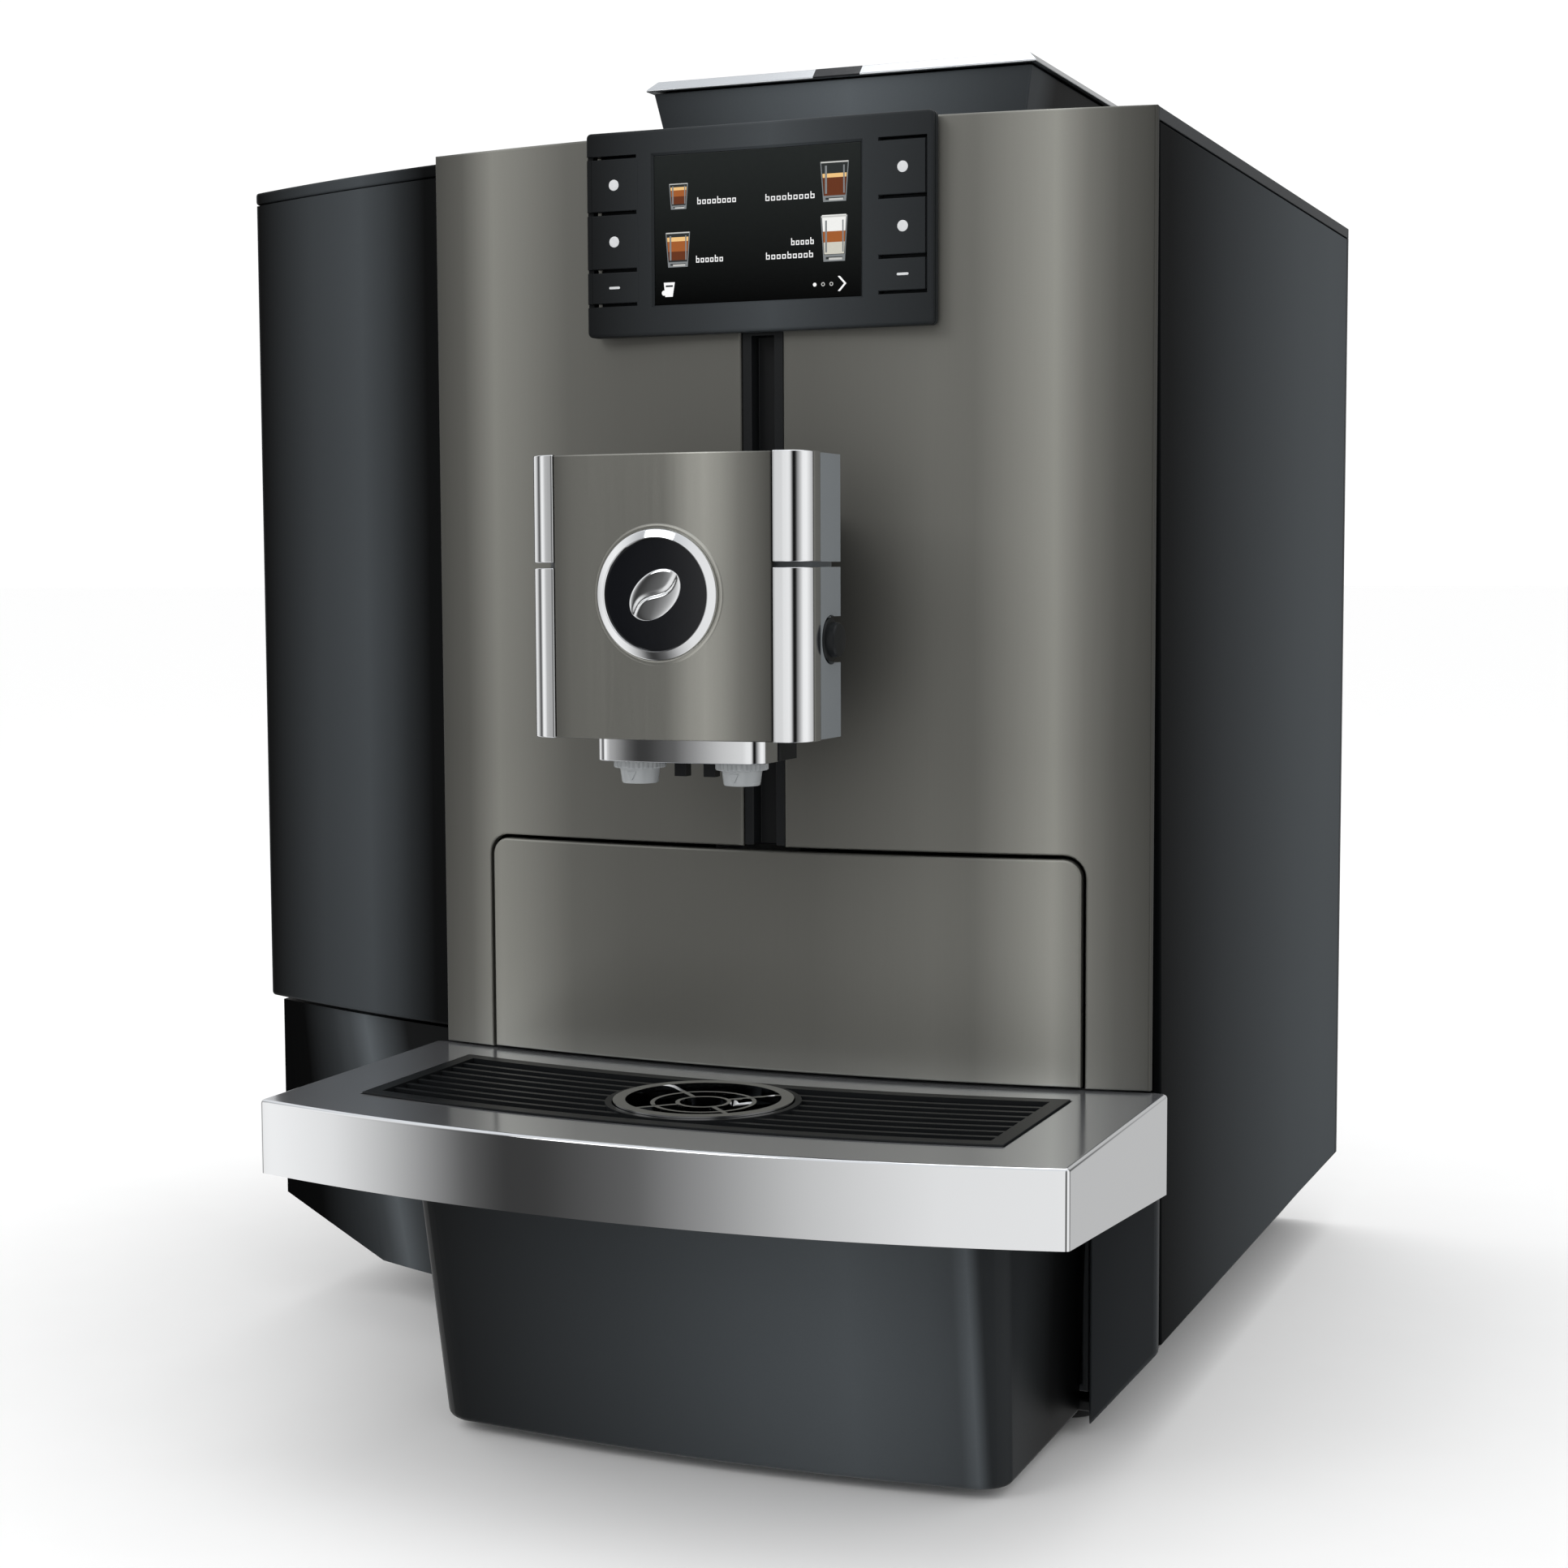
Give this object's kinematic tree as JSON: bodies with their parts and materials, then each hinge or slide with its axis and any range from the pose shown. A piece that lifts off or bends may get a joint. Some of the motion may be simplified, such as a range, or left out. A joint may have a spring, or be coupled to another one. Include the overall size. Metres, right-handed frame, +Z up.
{
  "type": "bean-to-cup coffee machine",
  "caption": "Counter-top automatic coffee machine: bowed metal-effect front, height-adjustable spout, side water tank, bean hopper, keyed display and pull-out drip tray drawer.",
  "frame": {"origin": "on the counter, under the middle of the machine's outer box", "axes": "+X to the viewer's right when facing the front, +Y to the rear, +Z up"},
  "size_m": [0.373, 0.462, 0.47],
  "materials": {
    "satin_black": "satin dark anthracite moulding",
    "deep_black": "black moulding",
    "dark_steel": "satin warm grey metal-effect coating",
    "bright_chrome": "polished",
    "grey_plastic": "satin grey",
    "clear_grey": "translucent grey-white",
    "screen_glass": "gloss display window",
    "galvanised": "plain sheet and turned steel",
    "cast_metal": "cast",
    "board_green": "circuit board",
    "rubber_black": "matt",
    "burr_ceramic": "ground"
  },
  "bodies": {
    "housing": {"base_plate": "deep_black", "chassis_frame": "deep_black", "rear_cover": "satin_black", "right_side_panel": "satin_black", "left_side_panel": "satin_black", "top_cover": "satin_black", "front_panel": "dark_steel", "rail_strip": "deep_black", "lower_cheeks": "satin_black", "tank_dock": "satin_black", "display_housing": "satin_black", "display_screen": "screen_glass", "feet": "rubber_black", "bean_hopper": "deep_black", "grinder_housing": "grey_plastic", "grinder_motor": "galvanised", "brew_frame": "grey_plastic", "brew_cylinder": "clear_grey", "brew_motor": "galvanised", "water_pump": "galvanised", "thermoblock": "cast_metal", "flow_meter": "grey_plastic", "circuit_boards": "board_green", "water_hoses": "clear_grey", "mains_inlet": "deep_black", "housing_screws": "galvanised"},
    "drawer": {"tray_rim": "bright_chrome", "drip_tray": "satin_black", "grounds_container": "deep_black", "drawer_front": "dark_steel"},
    "grille": {"drip_grille": "deep_black"},
    "cup_ring": {"grille_ring": "bright_chrome"},
    "spout": {"spout_carriage": "deep_black", "spout_body": "grey_plastic", "spout_trim_upper": "bright_chrome", "spout_trim_lower": "bright_chrome", "spout_chin": "bright_chrome"},
    "spout_front": {"spout_cover": "dark_steel", "badge_ring": "bright_chrome", "badge_disc": "deep_black"},
    "left_outlet": {"nozzle_left": "clear_grey"},
    "right_outlet": {"nozzle_right": "clear_grey"},
    "port_cap": {"milk_port_cap": "rubber_black"},
    "tank": {"water_tank": "satin_black"},
    "tank_flap": {"tank_lid": "satin_black"},
    "hopper_lid": {"bean_lid": "satin_black", "lid_rim": "bright_chrome"},
    "grind_setting": {"grind_knob": "deep_black"},
    "burr_spindle": {"grinding_burr": "burr_ceramic"},
    "powder_flap": {"powder_lid": "satin_black"},
    "key_l1": {"key_left_1": "satin_black"},
    "key_l2": {"key_left_2": "satin_black"},
    "key_l3": {"key_left_3": "satin_black"},
    "key_r1": {"key_right_1": "satin_black"},
    "key_r2": {"key_right_2": "satin_black"},
    "key_r3": {"key_right_3": "satin_black"},
    "on_key": {"power_key": "satin_black"},
    "mains_switch": {"power_rocker": "deep_black"},
    "piston": {"brew_piston": "deep_black"},
    "screw": {"brew_screw": "galvanised"}
  },
  "joints": [
    {"name": "drawer_slide", "type": "slide", "parent": "housing", "child": "drawer", "axis": [0, -1, 0], "range_m": [0, 0.3]},
    {"name": "grille_lift", "type": "slide", "parent": "drawer", "child": "grille", "axis": [0, 0, 1], "range_m": [0, 0.05]},
    {"name": "cup_ring_lift", "type": "slide", "parent": "grille", "child": "cup_ring", "axis": [0, 0, 1], "range_m": [0, 0.03]},
    {"name": "spout_height", "type": "slide", "parent": "housing", "child": "spout", "axis": [0, 0, 1], "range_m": [-0.022, 0.051]},
    {"name": "spout_front_pull", "type": "slide", "parent": "spout", "child": "spout_front", "axis": [0, -1, 0], "range_m": [0, 0.06]},
    {"name": "left_outlet_turn", "type": "hinge", "parent": "spout", "child": "left_outlet", "pos_m": [0.034, -0.173, 0.23], "axis": [0, 0, 1], "range_deg": [0, 90]},
    {"name": "right_outlet_turn", "type": "hinge", "parent": "spout", "child": "right_outlet", "pos_m": [0.069, -0.173, 0.23], "axis": [0, 0, 1], "range_deg": [0, 90]},
    {"name": "port_cap_pull", "type": "slide", "parent": "spout", "child": "port_cap", "axis": [1, 0, 0], "range_m": [0, 0.03]},
    {"name": "tank_lift", "type": "slide", "parent": "housing", "child": "tank", "axis": [0, 0, 1], "range_m": [0, 0.33]},
    {"name": "tank_flap_hinge", "type": "hinge", "parent": "tank", "child": "tank_flap", "pos_m": [-0.135, 0.205, 0.433], "axis": [-1, 0, 0], "range_deg": [0, 95]},
    {"name": "hopper_lid_lift", "type": "slide", "parent": "housing", "child": "hopper_lid", "axis": [0, 0, 1], "range_m": [0, 0.1]},
    {"name": "grind_setting_turn", "type": "hinge", "parent": "housing", "child": "grind_setting", "pos_m": [0.04375, 0.054, 0.343], "axis": [0, 0, 1], "range_deg": [-120, 120]},
    {"name": "burr_spin", "type": "hinge", "parent": "housing", "child": "burr_spindle", "pos_m": [0.04375, 0.054, 0.27], "axis": [0, 0, 1], "continuous": true},
    {"name": "powder_flap_hinge", "type": "hinge", "parent": "housing", "child": "powder_flap", "pos_m": [0.147, 0.038, 0.4341], "axis": [-1, 0, 0], "range_deg": [0, 95]},
    {"name": "key_l1_press", "type": "slide", "parent": "housing", "child": "key_l1", "axis": [0, 1, 0], "range_m": [0, 0.0012], "stiffness_N_per_m": 800},
    {"name": "key_l2_press", "type": "slide", "parent": "housing", "child": "key_l2", "axis": [0, 1, 0], "range_m": [0, 0.0012], "stiffness_N_per_m": 800},
    {"name": "key_l3_press", "type": "slide", "parent": "housing", "child": "key_l3", "axis": [0, 1, 0], "range_m": [0, 0.0012], "stiffness_N_per_m": 800},
    {"name": "key_r1_press", "type": "slide", "parent": "housing", "child": "key_r1", "axis": [0, 1, 0], "range_m": [0, 0.0012], "stiffness_N_per_m": 800},
    {"name": "key_r2_press", "type": "slide", "parent": "housing", "child": "key_r2", "axis": [0, 1, 0], "range_m": [0, 0.0012], "stiffness_N_per_m": 800},
    {"name": "key_r3_press", "type": "slide", "parent": "housing", "child": "key_r3", "axis": [0, 1, 0], "range_m": [0, 0.0012], "stiffness_N_per_m": 800},
    {"name": "power_key_press", "type": "slide", "parent": "housing", "child": "on_key", "axis": [0, 0, -1], "range_m": [0, 0.002], "stiffness_N_per_m": 800},
    {"name": "mains_switch_tilt", "type": "hinge", "parent": "housing", "child": "mains_switch", "pos_m": [0.157, 0.2264, 0.0705], "axis": [1, 0, 0], "range_deg": [0, 8]},
    {"name": "brew_screw_turn", "type": "hinge", "parent": "housing", "child": "screw", "pos_m": [0.105, 0.112, 0.044], "axis": [0, 0, 1], "range_deg": [0, 1440]},
    {"name": "brew_piston_rise", "type": "slide", "parent": "housing", "child": "piston", "axis": [0, 0, 1], "range_m": [0, 0.03]}
  ],
  "couplings": [
    {"joint": "brew_screw_turn", "follows": "brew_piston_rise", "rad_per_m": 837.7}
  ]
}
